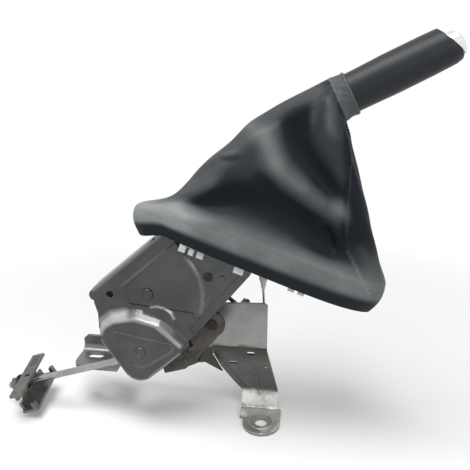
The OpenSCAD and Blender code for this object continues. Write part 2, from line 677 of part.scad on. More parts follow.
// The equalizer rocks on a barrel washer whose axis lies behind the web
yoke_roll = 12;
barrel_back = 8;
seat_w = rod_d / 2 + 2.1;
barrel_r = norm([barrel_back - yoke_sheet / 2, seat_w]) - 0.05;
module seat_washer() color(zinc) at_yoke() rotate([yoke_roll, 0, 0]) difference() {
    union() {
        along(-barrel_back, -barrel_back + 2, 9);
        intersection() {
            translate([-barrel_back, 0, -seat_w + 0.4]) cylinder(h = 2 * seat_w - 0.8, r = barrel_r);
            translate([-barrel_back + 1, -20, -20]) cube([40, 40, 40]);
        }
    }
    along(-20, 5, rod_d / 2);
}

module hex_nut(s0, s1, d) difference() {
    translate([s0, 0, 0]) rotate([0, 90, 0]) cylinder(h = s1 - s0, d = d, $fn = 6);
    along(s0 - 1, s1 + 1, rod_d / 2);
}

module adjuster_nut() color(zinc) at_yoke() hex_nut(-barrel_back - 7, -barrel_back, 15);
module lock_nut() color(zinc) at_yoke() hex_nut(yoke_sheet / 2 + 2.4, yoke_sheet / 2 + 6.4, 11.5);

// Equalizer: a channel open toward the lever, hung low on the rod, slotted at both ends
yoke_top = 9.8;
module equalizer_yoke() color(zinc) at_yoke() rotate([yoke_roll, 0, 0]) {
    h = yoke_len / 2;
    t = yoke_sheet;
    z1 = yoke_top;
    z0 = yoke_top - yoke_h;
    difference() {
        union() {
            translate([-t / 2, -h + 5, z0]) cube([t, yoke_len - 10, yoke_h]);
            translate([-t / 2, -h, z1 - t]) cube([yoke_depth - 4, yoke_len, t]);
            translate([-t / 2, -h + 3, z0]) cube([yoke_depth, yoke_len - 6, t]);
            for (y = [14:4:26]) translate([1, y, z1 - 0.5]) cube([yoke_depth - 9, 1.4, 1.2]);
            // Fingers that close the cable spaces at the ends
            for (s = [-1, 1]) translate([yoke_depth - 6, s > 0 ? h - 8 : -h + 3, z0]) cube([4, 5, 11]);
        }
        translate([-5, -seat_w, -seat_w]) cube([10, 2 * seat_w, 2 * seat_w]);
        for (s = [-1, 1])
            translate([-5, s > 0 ? h - 13 : -h - 1, (z0 + z1) / 2 - 2.6]) cube([10, 14, 5.2]);
        translate([4, -4, z1 - t - 1]) cube([6, 3, t + 3]);
    }
}

base_far_cheek();
base_front_leg();
base_rear_arm();
base_near_cheek();
ratchet_sector();
sector_rivets();
pivot_pin();
pivot_bushes();
stop_pin();
switch_body();
switch_screws();
switch_stalk();
switch_cap();
switch_plunger();
lever_plate_near();
lever_plate_far();
lever_tube();
seam_rivets();
grip();
button_bezel();
pawl_pin();
cable_pin();
button_spring();
pawl_spring();
boot_panel_near();
boot_panel_far();
boot_panel_front();
boot_panel_rear();
boot_collar();
boot_frame();
boot_clips();
release_button();
release_rod();
pawl();
pull_rod();
adjuster_nut();
lock_nut();
seat_washer();
equalizer_yoke();
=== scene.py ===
"""Looks of the parking brake lever: leather boot, sewn collar, finishes, light and camera."""

import json
import math

import bpy
import numpy as np
from mathutils import Matrix, Vector


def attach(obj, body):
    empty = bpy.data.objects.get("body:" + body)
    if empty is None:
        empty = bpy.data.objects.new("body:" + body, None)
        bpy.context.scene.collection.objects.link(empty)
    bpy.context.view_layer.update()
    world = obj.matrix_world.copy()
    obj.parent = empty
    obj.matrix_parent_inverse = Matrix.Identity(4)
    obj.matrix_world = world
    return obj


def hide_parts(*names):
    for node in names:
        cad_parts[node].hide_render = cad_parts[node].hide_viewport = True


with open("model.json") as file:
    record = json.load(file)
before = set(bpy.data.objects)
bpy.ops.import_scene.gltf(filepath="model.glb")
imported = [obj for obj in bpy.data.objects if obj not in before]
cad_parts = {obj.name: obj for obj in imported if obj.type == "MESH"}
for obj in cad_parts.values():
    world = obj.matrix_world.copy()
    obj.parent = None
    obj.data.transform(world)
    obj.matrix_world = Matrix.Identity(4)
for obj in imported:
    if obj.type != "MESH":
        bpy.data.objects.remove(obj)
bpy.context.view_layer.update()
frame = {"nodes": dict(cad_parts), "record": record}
nodes = frame["nodes"]
scene = bpy.context.scene

PIVOT = np.array([-108.0, 0.0, 146.0])


def metres(p):
    """Points in millimetres from the lever pivot, as metres in the shared frame."""
    return (np.asarray(p, float) + PIVOT) / 1000


# Camera, placed to match the photograph

CAM_AT = np.array([148.1, -476.0, 213.1])
CAM_BACK = np.array([0.1324, -0.9418, 0.3090])
CAM_RIGHT = np.array([0.9903, 0.1392, 0.0])
CAM_UP = np.array([-0.0430, 0.3060, 0.9511])
PICTURE_PX, FOCAL_PX, SENSOR_MM = 470.0, 550.0, 36.0


def to_picture(p):
    """Picture coordinates of points in millimetres from the pivot, counted from the upper left."""
    d = np.asarray(p, float) - CAM_AT
    depth = -(d @ CAM_BACK)
    right = FOCAL_PX * (d @ CAM_RIGHT) / depth
    up = FOCAL_PX * (d @ CAM_UP) / depth
    return np.stack([PICTURE_PX / 2 + right, PICTURE_PX / 2 - up], axis=-1)


cam_data = bpy.data.cameras.new("camera")
cam_data.sensor_width = SENSOR_MM
cam_data.lens = FOCAL_PX / PICTURE_PX * SENSOR_MM
cam_data.clip_start = 0.01
camera = bpy.data.objects.new("camera", cam_data)
stand = Matrix.Identity(4)
for col, axis in enumerate((CAM_RIGHT, CAM_UP, CAM_BACK, metres(CAM_AT))):
    for row in range(3):
        stand[row][col] = axis[row]
camera.matrix_world = stand
scene.collection.objects.link(camera)
scene.camera = camera

# Materials


class Nodes:
    """Small helper around one material's node tree."""

    def __init__(self, name):
        self.mat = bpy.data.materials.new(name)
        self.mat.use_nodes = True
        self.tree = self.mat.node_tree
        self.bsdf = self.tree.nodes["Principled BSDF"]
        coord = self.tree.nodes.new("ShaderNodeTexCoord")
        self.place = coord.outputs["Object"]

    def node(self, kind, **inputs):
        n = self.tree.nodes.new(kind)
        for k, v in inputs.items():
            self.feed(n.inputs[k.replace("_", " ")], v)
        return n

    def feed(self, socket, value):
        if isinstance(value, bpy.types.NodeSocket):
            self.tree.links.new(value, socket)
        else:
            socket.default_value = value

    def stretch(self, scale, turn=(0, 0, 0)):
        n = self.node("ShaderNodeMapping", Vector=self.place)
        n.inputs["Scale"].default_value = scale
        n.inputs["Rotation"].default_value = turn
        return n.outputs["Vector"]

    def noise(self, scale, detail=4.0, rough=0.55, where=None):
        n = self.node("ShaderNodeTexNoise", Vector=where or self.place, Scale=scale, Detail=detail,
                      Roughness=rough)
        return n.outputs["Fac"]

    def cells(self, scale):
        n = self.node("ShaderNodeTexVoronoi", Vector=self.place, Scale=scale)
        n.feature = "SMOOTH_F1"
        return n.outputs["Distance"]

    def coordinate(self, axis):
        return self.node("ShaderNodeSeparateXYZ", Vector=self.place).outputs[axis]

    def ramp(self, fac, stops):
        n = self.node("ShaderNodeValToRGB", Fac=fac)
        e = n.color_ramp.elements
        while len(e) < len(stops):
            e.new(0.5)
        for i, (at, col) in enumerate(stops):
            e[i].position = at
            e[i].color = (*col, 1)
        return n.outputs["Color"]

    def span(self, fac, lo, hi, a=0.0, b=1.0):
        n = self.node("ShaderNodeMapRange", Value=fac)
        n.inputs["From Min"].default_value = a
        n.inputs["From Max"].default_value = b
        n.inputs["To Min"].default_value = lo
        n.inputs["To Max"].default_value = hi
        return n.outputs["Result"]

    def mix(self, fac, a, b):
        n = self.tree.nodes.new("ShaderNodeMix")
        n.data_type = "RGBA"
        self.feed(n.inputs[0], fac)
        for socket, v in ((n.inputs[6], a), (n.inputs[7], b)):
            self.feed(socket, v if isinstance(v, bpy.types.NodeSocket) else (*v, 1))
        return n.outputs[2]

    def math(self, how, a, b=0.0):
        n = self.tree.nodes.new("ShaderNodeMath")
        n.operation = how
        self.feed(n.inputs[0], a)
        self.feed(n.inputs[1], b)
        return n.outputs[0]

    def bump(self, height, strength, distance, under=None):
        n = self.node("ShaderNodeBump", Height=height)
        n.inputs["Strength"].default_value = strength
        n.inputs["Distance"].default_value = distance
        if under is not None:
            self.feed(n.inputs["Normal"], under)
        return n.outputs["Normal"]

    def beside(self, line):
        """Distance from a line of points (x, z) in millimetres from the pivot, measured square to Y."""
        flat = self.step("MULTIPLY", self.place, (1, 0, 1))
        points = [(metres((x, 0, z)) * (1, 0, 1)) for x, z in line]
        best = None
        for a, b in zip(points, points[1:]):
            way = self.step("SUBTRACT", flat.outputs["Vector"], a)
            part = self.step("DOT_PRODUCT", way.outputs["Vector"], (b - a) / ((b - a) @ (b - a)))
            part = self.span(part.outputs["Value"], 0.0, 1.0)
            foot = self.step("SCALE", b - a)
            self.feed(foot.inputs["Scale"], part)
            gap = self.step("DISTANCE", way.outputs["Vector"], foot.outputs["Vector"]).outputs["Value"]
            best = gap if best is None else self.math("MINIMUM", best, gap)
        return best

    def step(self, how, a, b=(0, 0, 0)):
        n = self.tree.nodes.new("ShaderNodeVectorMath")
        n.operation = how
        self.feed(n.inputs[0], a)
        self.feed(n.inputs[1], b)
        return n

    def rounded(self, radius):
        """Normals of edges rolled to a radius, as pressed sheet has them."""
        n = self.node("ShaderNodeBevel", Radius=radius)
        n.samples = 8
        return n.outputs["Normal"]

    def surface(self, color, rough, normal=None, **fixed):
        self.feed(self.bsdf.inputs["Base Color"], color)
        self.feed(self.bsdf.inputs["Roughness"], rough)
        if normal is not None:
            self.feed(self.bsdf.inputs["Normal"], normal)
        for k, v in fixed.items():
            self.bsdf.inputs[k.replace("_", " ")].default_value = v
        return self.mat


# Tints that the finishes share: painted highlights along ridges, painted shade inside the lever, smudges
# and stains
HIGHLIGHT_TINT, HOLE_SHADE_TINT = (0.62, 0.625, 0.61), (0.006, 0.006, 0.006)
SMUDGE, STAIN = (0.02, 0.018, 0.016), (0.10, 0.085, 0.068)


def sheet_metal(name, dark, light, stain, metallic, rough, stain_at=0.62, edge=0.0006, highlights=(),
                inside=None):
    """Plated sheet: cloudy plating, rolling lines, specks, stains, rolled edges, painted highlights along
    ridges, painted shade seen through a hole.
    """
    n = Nodes(name)
    cloud = n.noise(38, 5, 0.6)
    speck = n.noise(900, 3, 0.7)
    lines = n.noise(160, 3, 0.6, n.stretch((0.6, 1.0, 9.0), (0, 0.85, 0)))
    col = n.mix(n.span(cloud, 0, 1, 0.35, 0.68), dark, light)
    col = n.mix(n.span(speck, 0, 0.35, 0.5, 0.75), col, light)
    blot = n.noise(70, 6, 0.7)
    col = n.mix(n.span(blot, 0, 0.75, stain_at, stain_at + 0.14), col, stain)
    # Painted highlights: bands of light tint along the given lines
    for line, width, amount in highlights:
        col = n.mix(n.span(n.beside(line), amount, 0.0, 0.0, width / 1000), col, HIGHLIGHT_TINT)
    # Painted shade: the lever's inside, seen through its bare hole, tinted near black
    if inside is not None:
        line, width, half = inside
        within = n.math("LESS_THAN", n.math("ABSOLUTE", n.coordinate("Y")), half / 1000)
        close = n.math("LESS_THAN", n.beside(line), width / 1000)
        col = n.mix(n.math("MULTIPLY", within, close), col, HOLE_SHADE_TINT)
    r = n.math("ADD", n.span(cloud, rough - 0.07, rough + 0.08), n.span(speck, -0.05, 0.05))
    b1 = n.bump(lines, 0.10, 0.0004, n.rounded(edge))
    b2 = n.bump(speck, 0.10, 0.0003, b1)
    return n.surface(col, r, b2, Metallic=metallic)


def leather(name, dark, light, rough, grain=620.0, depth=0.45, spec=0.3):
    """Embossed hide: pebble grain with pores and soft creasing, lighter where its per-vertex lightness
    attribute is high, which holds rubbing and painted sheen and shade.
    """
    n = Nodes(name)
    warp = n.noise(90, 3)
    pebble = n.cells(grain)
    pore = n.noise(2600, 2)
    rub = n.noise(26, 4, 0.6)
    painted_light_and_wear = n.tree.nodes.new("ShaderNodeAttribute")
    painted_light_and_wear.attribute_name = "painted_light_and_wear"
    light_amount = n.math("MULTIPLY", painted_light_and_wear.outputs["Fac"], n.span(rub, 0.8, 1.2, 0.3, 0.7))
    col = n.mix(n.math("MINIMUM", n.math("MAXIMUM", light_amount, 0.0), 1.0), dark, light)
    col = n.mix(n.span(pebble, 0.0, 0.10, 0.25, 0.75), col, dark)
    r = n.math("ADD", n.span(rub, rough - 0.05, rough + 0.06), n.span(pore, -0.05, 0.05))
    b1 = n.bump(n.math("MULTIPLY", pebble, -1.0), depth, 0.00035)
    b2 = n.bump(warp, 0.10, 0.0008, b1)
    b3 = n.bump(pore, 0.10, 0.0002, b2)
    return n.surface(col, r, b3, Specular_IOR_Level=spec)


def moulded(name, dark, light, rough, spec=0.4):
    """Moulded plastic: spark texture with slight clouding."""
    n = Nodes(name)
    cloud = n.noise(55, 4)
    spark = n.noise(1500, 2, 0.6)
    col = n.mix(n.span(cloud, 0, 1, 0.35, 0.7), dark, light)
    r = n.math("ADD", n.span(cloud, rough - 0.06, rough + 0.06), n.span(spark, -0.06, 0.06))
    return n.surface(col, r, n.bump(spark, 0.18, 0.0003), Specular_IOR_Level=spec)


def plated(name, tint, rough):
    """Bright plating with faint polishing marks."""
    n = Nodes(name)
    smear = n.noise(60, 4)
    lines = n.noise(400, 2, 0.5, n.stretch((0.3, 6.0, 6.0)))
    col = n.mix(n.span(smear, 0, 0.4, 0.4, 0.8), tint, tuple(0.8 * c for c in tint))
    r = n.math("ADD", n.span(smear, rough, rough + 0.10), n.span(lines, -0.03, 0.03))
    return n.surface(col, r, n.bump(lines, 0.04, 0.0002), Metallic=1.0)


def rusted(name, steel, rust, amount):
    """Bare steel with patches of rust that are rougher and stand up a little."""
    n = Nodes(name)
    patch = n.noise(120, 6, 0.7)
    grit = n.noise(1400, 3, 0.7)
    mask = n.span(patch, 0, 1, amount - 0.07, amount + 0.09)
    bare = n.mix(grit, steel, tuple(0.6 * c for c in steel))
    col = n.mix(mask, bare, n.mix(grit, rust, tuple(0.55 * c for c in rust)))
    r = n.span(mask, 0.42, 0.85)
    return n.surface(col, r, n.bump(n.math("ADD", mask, grit), 0.25, 0.0004), Metallic=0.35)


def light_and_shade_by_height(name, zones, metallic, rough):
    """Plated sheet whose colour goes by height, painting light and shade on it: zones pair a height in
    metres with the colour there.
    """
    n = Nodes(name)
    cloud = n.noise(45, 5, 0.6)
    speck = n.noise(900, 3, 0.7)
    blot = n.noise(60, 6, 0.7)
    wavy = n.math("ADD", n.coordinate("Z"), n.span(cloud, -0.004, 0.004, 0.3, 0.7))
    low, high = zones[0][0], zones[-1][0]
    col = n.ramp(n.span(wavy, 0.0, 1.0, low, high), [((z - low) / (high - low), c) for z, c in zones])
    col = n.mix(n.span(cloud, 0.0, 0.20, 0.35, 0.68), col, SMUDGE)
    col = n.mix(n.span(blot, 0, 0.55, 0.60, 0.74), col, STAIN)
    r = n.math("ADD", n.span(cloud, rough - 0.06, rough + 0.10), n.span(speck, -0.05, 0.05))
    return n.surface(col, r, n.bump(speck, 0.12, 0.0003, n.rounded(0.0012)), Metallic=metallic)


# Tints of the base sheet, and their places by height in metres on its two pieces that paint light and
# shade: painted shade high on the leg and low on the far cheek, a painted highlight across the leg's toe,
# and the far cheek's plate darker towards the top
DULL, TOE_HIGHLIGHT = (0.30, 0.30, 0.28), (0.86, 0.86, 0.83)
PLATE, PLATE_TOP = (0.29, 0.295, 0.285), (0.235, 0.242, 0.24)
GREY, SHADE_TINT = (0.125, 0.126, 0.122), (0.050, 0.046, 0.040)
# Leg: its foot, a painted highlight across the toe, grey, then painted shade towards its top
LEG_ZONES = [(0.0, DULL), (0.004, DULL), (0.007, TOE_HIGHLIGHT), (0.018, TOE_HIGHLIGHT), (0.026, GREY), (0.060, GREY),
             (0.083, SHADE_TINT)]
# Far cheek: painted shade low down, then its plate, darker towards the top
CHEEK_ZONES = [(0.050, SHADE_TINT), (0.080, SHADE_TINT), (0.085, PLATE), (0.105, PLATE), (0.130, PLATE_TOP)]
# Painted highlights along the ridges and rolled top edge of the lever halves: line of (x, z) from the
# pivot, half width in mm, amount
LEVER_HIGHLIGHTS = [
    ([(-46.5, -42), (-42.8, -33), (-33, -28.2), (-13, -24.6), (8, -29.7), (20, -40), (31, -50)], 3.0, 0.42),
    ([(-46, -33), (-36, -25), (-12, -20.5), (7, -26), (22, -37)], 5.0, 0.12),
    ([(-46, -33), (-36, -25), (-24, -22)], 7.0, 0.62),
    ([(-46.5, -48), (-44.5, -52.6), (-24.3, -82.7), (-18.5, -88.2), (-10.2, -90.5), (-2, -88.3),
      (4.5, -81.6), (31, -58)], 1.8, 0.30),
    ([(24.5, -52), (23, -56), (-2.5, -73.3), (-8.3, -75), (-13, -73.6)], 2.6, 0.10),
    ([(50.3, -18.3), (53.2, -6), (53.2, 6), (50.3, 18.3), (44, 30), (37.8, 37.8)], 3.0, 0.12),
    ([(25, -24), (22, -18), (16, -13.5), (9, -12), (3, -13.2)], 1.8, 0.40),
    ([(-54, 1.0), (10.5, 56), (80, 125.5)], 3.4, 0.28),
    ([(-25.3, 6.5), (19.3, 44.1)], 2.4, 0.08),
]
# Painted shade on the inside of the lever, seen through its bare hole: line, half width and half depth in
# mm
LEVER_HOLE_SHADE = ([(-37.7, -3.3), (-48.8, -16.3)], 7.0, 14.2)
# Dark, light and stained tint of each plating
LEVER_PLATING = (0.062, 0.064, 0.065), (0.088, 0.091, 0.092), (0.05, 0.045, 0.038)
ROD_PLATING = (0.30, 0.303, 0.29), (0.42, 0.423, 0.405), (0.12, 0.11, 0.095)
YOKE_PLATING = (0.11, 0.112, 0.105), (0.20, 0.203, 0.19), (0.075, 0.068, 0.058)
BRIGHT_PLATING = (0.20, 0.203, 0.20), (0.31, 0.313, 0.305), (0.13, 0.118, 0.10)
ARM_PLATING = (0.14, 0.142, 0.138), (0.21, 0.213, 0.205), (0.10, 0.09, 0.075)
OILED_STEEL = (0.05, 0.052, 0.055), (0.10, 0.103, 0.107), (0.04, 0.034, 0.03)
FINISHES = (
    (sheet_metal, "zinc", *LEVER_PLATING, 0.85, 0.31),
    (sheet_metal, "lever_zinc", *LEVER_PLATING, 0.85, 0.31, 0.62, 0.0018, LEVER_HIGHLIGHTS, LEVER_HOLE_SHADE),
    (sheet_metal, "rod_zinc", *ROD_PLATING, 0.85, 0.20),
    (sheet_metal, "yoke_zinc", *YOKE_PLATING, 0.75, 0.28, 0.58),
    (sheet_metal, "zinc_bright", *BRIGHT_PLATING, 0.75, 0.33, 0.66),
    (sheet_metal, "arm_zinc", *ARM_PLATING, 0.75, 0.30, 0.64),
    (light_and_shade_by_height, "leg_zinc", LEG_ZONES, 0.7, 0.36),
    (light_and_shade_by_height, "cheek_zinc", CHEEK_ZONES, 0.6, 0.38),
    (rusted, "steel_aged", (0.070, 0.064, 0.059), (0.052, 0.045, 0.039), 0.52),
    (sheet_metal, "steel_dark", *OILED_STEEL, 0.8, 0.28),
    (plated, "black_steel", (0.030, 0.027, 0.025), 0.20),
    (rusted, "rust_rivet", (0.09, 0.075, 0.06), (0.065, 0.040, 0.024), 0.42),
    (moulded, "black_plastic", (0.010, 0.010, 0.011), (0.018, 0.018, 0.020), 0.5, 0.3),
    (moulded, "pale_plastic", (0.42, 0.43, 0.44), (0.55, 0.56, 0.57), 0.45),
    (leather, "grip_skin", (0.010, 0.0125, 0.0155), (0.03, 0.034, 0.038), 0.42, 900.0, 0.16, 0.26),
    (leather, "boot_leather", (0.0036, 0.0062, 0.0100), (0.225, 0.240, 0.240), 0.52, 640.0, 0.26, 0.11),
    (plated, "chrome", (0.80, 0.81, 0.83), 0.10),
    (moulded, "thread", (0.05, 0.055, 0.056), (0.09, 0.095, 0.095), 0.6, 0.2),
)
MATS = {name: make(name, *rest) for make, name, *rest in FINISHES}
SLOT_OF = {s["node"]: s["material_slot"] for s in frame["record"]["subparts"]}
# Pieces whose look differs from their slot's
OWN_MAT = {"pawl_pin": "rust_rivet", "base_front_leg": "leg_zinc", "base_far_cheek": "cheek_zinc",
           "base_rear_arm": "arm_zinc", "stop_pin": "black_steel", "pull_rod": "rod_zinc",
           "equalizer_yoke": "yoke_zinc", "adjuster_nut": "yoke_zinc", "switch_stalk": "zinc_bright",
           "switch_plunger": "black_plastic", "lever_plate_near": "lever_zinc",
           "lever_plate_far": "lever_zinc"}


def dress(obj, mat):
    obj.data.materials.clear()
    obj.data.materials.append(mat)


# Pieces whose edges get a small bevel, and its width in metres
SHEETS = ("base_far_cheek", "base_front_leg", "base_rear_arm", "base_near_cheek", "lever_plate_near",
          "lever_plate_far", "equalizer_yoke", "boot_frame", "boot_clips", "switch_body", "pull_rod")
EDGE_R = {"lever_plate_near": 0.0009, "lever_plate_far": 0.0009}
USUAL_EDGE_R, EDGE_ANGLE = 0.0005, math.radians(38)


def soft_shading():
    """Node group that shades a mesh smooth all over, for pressed forms whose edges are then rounded."""
    g = bpy.data.node_groups.new("soft_shading", "GeometryNodeTree")
    g.interface.new_socket("Geometry", in_out="INPUT", socket_type="NodeSocketGeometry")
    g.interface.new_socket("Geometry", in_out="OUTPUT", socket_type="NodeSocketGeometry")
    last = g.nodes.new("NodeGroupInput").outputs["Geometry"]
    plain = g.nodes.new("GeometryNodeRemoveAttribute")
    plain.inputs["Name"].default_value = "custom_normal"
    faces = g.nodes.new("GeometryNodeSetShadeSmooth")
    edges = g.nodes.new("GeometryNodeSetShadeSmooth")
    edges.domain = "EDGE"
    for n in (plain, faces, edges):
        g.links.new(last, n.inputs["Geometry"])
        last = n.outputs["Geometry"]
    g.links.new(last, g.nodes.new("NodeGroupOutput").inputs["Geometry"])
    return g


SOFT = soft_shading()
for name, obj in nodes.items():
    dress(obj, MATS[OWN_MAT.get(name, SLOT_OF[name])])
    if name in EDGE_R:
        obj.modifiers.new("soft", "NODES").node_group = SOFT
    if name in SHEETS:
        bev = obj.modifiers.new("edge", "BEVEL")
        bev.width = EDGE_R.get(name, USUAL_EDGE_R)
        bev.segments = 3
        bev.limit_method = "ANGLE"
        bev.angle_limit = EDGE_ANGLE
        bev.harden_normals = False
    if name in EDGE_R:
        obj.modifiers.new("flats", "WEIGHTED_NORMAL").keep_sharp = False


def mesh_piece(name, verts, faces, mat, smooth=True):
    """New object of points in metres."""
    me = bpy.data.meshes.new(name)
    me.from_pydata([tuple(v) for v in verts], [], faces)
    me.update()
    me.polygons.foreach_set("use_smooth", [smooth] * len(me.polygons))
    obj = bpy.data.objects.new(name, me)
    scene.collection.objects.link(obj)
    obj.data.materials.append(mat)
    return obj


def paint_light_and_wear(obj, values):
    """Store how light the leather is at each vertex, from rubbing and from painted sheen and shade."""
    layer = obj.data.attributes.new("painted_light_and_wear", "FLOAT", "POINT")
    layer.data.foreach_set("value", np.clip(values, 0, 1).ravel())


def thicken(obj, depth):
    """Give a leather surface its thickness, inwards."""
    wall = obj.modifiers.new("leather", "SOLIDIFY")
    wall.thickness = depth
    wall.offset = -1.0


# Skirt of the far cheek beside the leg, which the solids leave out: its outline in mm from the pivot, and
# the Y of its two faces, inside the sheet. At its height the far cheek's finish colours it with painted
# shade.

SKIRT = [(46, -61), (57.2, -62), (57.2, -75), (67, -92.5), (49.4, -83.3), (33.4, -85.6), (33, -81)]
SKIRT_Y = (8.2, 10.8)
n_skirt = len(SKIRT)
skirt_faces = [tuple(range(n_skirt)), tuple(range(2 * n_skirt - 1, n_skirt - 1, -1))]
skirt_faces += [(i, i + n_skirt, (i + 1) % n_skirt + n_skirt, (i + 1) % n_skirt) for i in range(n_skirt)]
skirt = mesh_piece("far_cheek_skirt", metres([(x, y, z) for y in SKIRT_Y for x, z in SKIRT]), skirt_faces,
                   MATS["cheek_zinc"], smooth=False)
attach(skirt, "base")

# Leather boot, in millimetres from the pivot

PITCH, ROLL = math.radians(18.8), math.radians(7.0)
BOOT_LEN, BOOT_W, HEM_H = 239.0, 80.0, 26.0
FRONT_WIDER, SQUARENESS = 4.0, 0.74
BOOT_FRONT = np.array([211.7, 0.0, -4.8])
FRAME_AT = BOOT_FRONT - BOOT_LEN * np.array([math.cos(PITCH), 0.0, -math.sin(PITCH)])
COLLAR_AT = np.array([178.2, 0.0, 184.4])
GRIP_TILT = math.radians(27.0)
GRIP_AXIS = np.array([math.cos(GRIP_TILT), 0.0, math.sin(GRIP_TILT)])
GRIP_DOWN = np.array([math.sin(GRIP_TILT), 0.0, -math.cos(GRIP_TILT)])
GRIP_R = 16.5
BOOT_TOP_S, BOOT_TOP_R = -12.5, GRIP_R + 2.3
COLLAR_S = -6.0
BOOT_WALL, COLLAR_WALL = 0.0014, 0.0012  # metres


def soft(c):
    """Cosine or sine of a ring that is squarer than an ellipse."""
    return np.sign(c) * np.abs(c) ** SQUARENESS


def from_frame(x, y, z):
    """Points given along, across and above the boot frame, which is pitched and rolled."""
    y1 = y * math.cos(ROLL) + z * math.sin(ROLL)
    z1 = -y * math.sin(ROLL) + z * math.cos(ROLL)
    return np.stack([FRAME_AT[0] + x * math.cos(PITCH) + z1 * math.sin(PITCH), y1,
                     FRAME_AT[2] - x * math.sin(PITCH) + z1 * math.cos(PITCH)], axis=-1)


def ring(a, inset):
    """Outline of the boot frame, drawn in by an inset."""
    c, s = soft(np.cos(a)), soft(np.sin(a))
    return BOOT_LEN / 2 + (BOOT_LEN / 2 - inset) * c, (BOOT_W / 2 + FRONT_WIDER * c - inset) * s


def collar_ring(a, s, r):
    """Points round the grip, s along its axis from the collar's place and r from the axis."""
    out = COLLAR_AT + np.multiply.outer(s, GRIP_AXIS) + np.multiply.outer(r * np.cos(a), GRIP_DOWN)
    out[..., 1] += r * np.sin(a)
    return out


def smoothstep(x):
    x = np.clip(x, 0, 1)
    return x * x * (3 - 2 * x)


def measured(line):
    """A line's points, the lengths of its pieces, and how far along it each point lies."""
    line = np.asarray(line, float)
    seg = np.linalg.norm(np.diff(line, axis=0), axis=1)
    return line, seg, np.concatenate([[0], np.cumsum(seg)])


def near_line(pts, line):
    """Distance of points from a line, and how far along it (0 to 1) the nearest place lies."""
    best = np.full(pts.shape[:-1], 1e9)
    place = np.zeros(pts.shape[:-1])
    line, seg, start = measured(line)
    for i in range(len(seg)):
        d = line[i + 1] - line[i]
        t = np.clip(((pts - line[i]) @ d) / (d @ d), 0, 1)
        dist = np.linalg.norm(pts - (line[i] + t[..., None] * d), axis=-1)
        closer = dist < best
        best = np.where(closer, dist, best)
        place = np.where(closer, (start[i] + t * seg[i]) / start[-1], place)
    return best, place


# Main folds of both sides, which the plain solids leave out: line, height in mm (minus is a hollow) and
# half width, where a line's points are distances along the boot from its middle and up the panel
MAIN_FOLDS = [
    ([(-60, 7), (-38, 27), (-7, 36), (23, 30), (43, 18)], -7.0, 17),
    ([(-59, 93), (-16, 68), (24, 57), (50, 57)], 6.0, 10),
    ([(-59, 117), (12, 86), (40, 72)], -6.0, 12),
]
FOLD_REACH, PANEL_RISE = 0.35 * BOOT_LEN, 150.0


def main_fold(a, v):
    """Height of the main folds, which run out at the hem and at the collar."""
    p = np.stack([FOLD_REACH * soft(np.cos(a)), PANEL_RISE * v], axis=-1)
    ends = np.clip(np.minimum(v / 0.06, (1 - v) / 0.12), 0, 1)
    return ends * sum(h * np.exp(-(near_line(p, line)[0] / w) ** 2) for line, h, w in MAIN_FOLDS)


# Smaller folds, placed by the near side: line in the picture, height in mm, half width, fade at the ends
FOLDS = [
    ([(330, 92), (329, 115), (330, 142)], 3.0, 5, 0.3),
    ([(319, 90), (313, 115), (312, 140)], 1.6, 4, 0.4),
    ([(217, 157), (229, 155), (243, 151)], 1.6, 2.6, 0.4),
    ([(215, 161), (230, 160), (246, 158)], -1.6, 3.4, 0.4),
    ([(322, 222), (330, 240), (335, 256)], -3.0, 5, 0.35),
    ([(250, 170), (262, 182), (280, 192)], -2.0, 8, 0.4),
    ([(170, 205), (200, 187), (232, 170)], 1.6, 8, 0.4),
    ([(160, 214), (190, 219), (230, 227)], 1.2, 6, 0.4),
    ([(347, 128), (349, 163), (346, 203), (345, 240)], 1.2, 2.6, 0.08),
    ([(345, 243), (357, 268), (369, 296)], 1.0, 2.2, 0.08),
]
# Places painted lighter (plus, painted sheen and rubbing) or darker (minus, painted shade) than their folds
# alone make them, and light and dark lines along the two seams: line in the picture, amount, half width
SHEEN_AND_SHADE_SPOTS = [
    ([(252, 128), (265, 142), (276, 162)], 0.22, 9),
    ([(335, 88), (331, 118), (334, 134)], 0.14, 6),
    ([(286, 178), (300, 189), (322, 203)], 0.05, 4),
    ([(160, 206), (205, 178), (250, 138)], 0.10, 7),
    ([(346, 250), (357, 270), (369, 294)], 0.22, 0.9),
    ([(347, 126), (349, 160), (345, 205), (343, 238)], -0.14, 2.2),
    ([(310, 195), (328, 206)], -0.16, 6),
    ([(304, 138), (312, 162)], 0.05, 9),
    ([(174, 206), (190, 197), (212, 184)], 0.13, 7),
    ([(362, 250), (372, 268)], 0.10, 7),
    ([(305, 140), (314, 160)], 0.04, 7),
]


def fold_height(pts):
    """Height of the smaller folds at picture points."""
    total = np.zeros(pts.shape[:-1])
    for line, height, width, fade in FOLDS:
        dist, place = near_line(pts, line)
        ends = smoothstep(place / fade) * smoothstep((1 - place) / fade)
        total += height * ends * np.exp(-(dist / width) ** 2)
    return total


# How far the leather is drawn in above the hem, against the way up to the collar
REAR_PULL = ([0, 0.04, 0.09, 0.16, 0.25, 0.36, 0.50, 0.62, 0.75, 1],
             [2, 16, 22, 20, 14, 8, 3.5, -3.5, -3, 0])
SIDE_PULL = ([0, 0.12, 0.3, 0.6, 1], [1, 5.5, 5, 1.5, 0])
FRONT_PULL = ([0, 0.12, 0.5, 0.86, 1], [1, 4, 1.5, 4, 0])
# The hollows stop short of the lever inside, at this distance from the middle plane
LEVER_CLEAR = 18.3
HEM_SAG, FRONT_SAG, REAR_SAG, REAR_TUCK = 2.2, 2.4, 11.0, 7.0
FRAME_UP = np.array([math.cos(ROLL) * math.sin(PITCH), math.sin(ROLL), math.cos(ROLL) * math.cos(PITCH)])


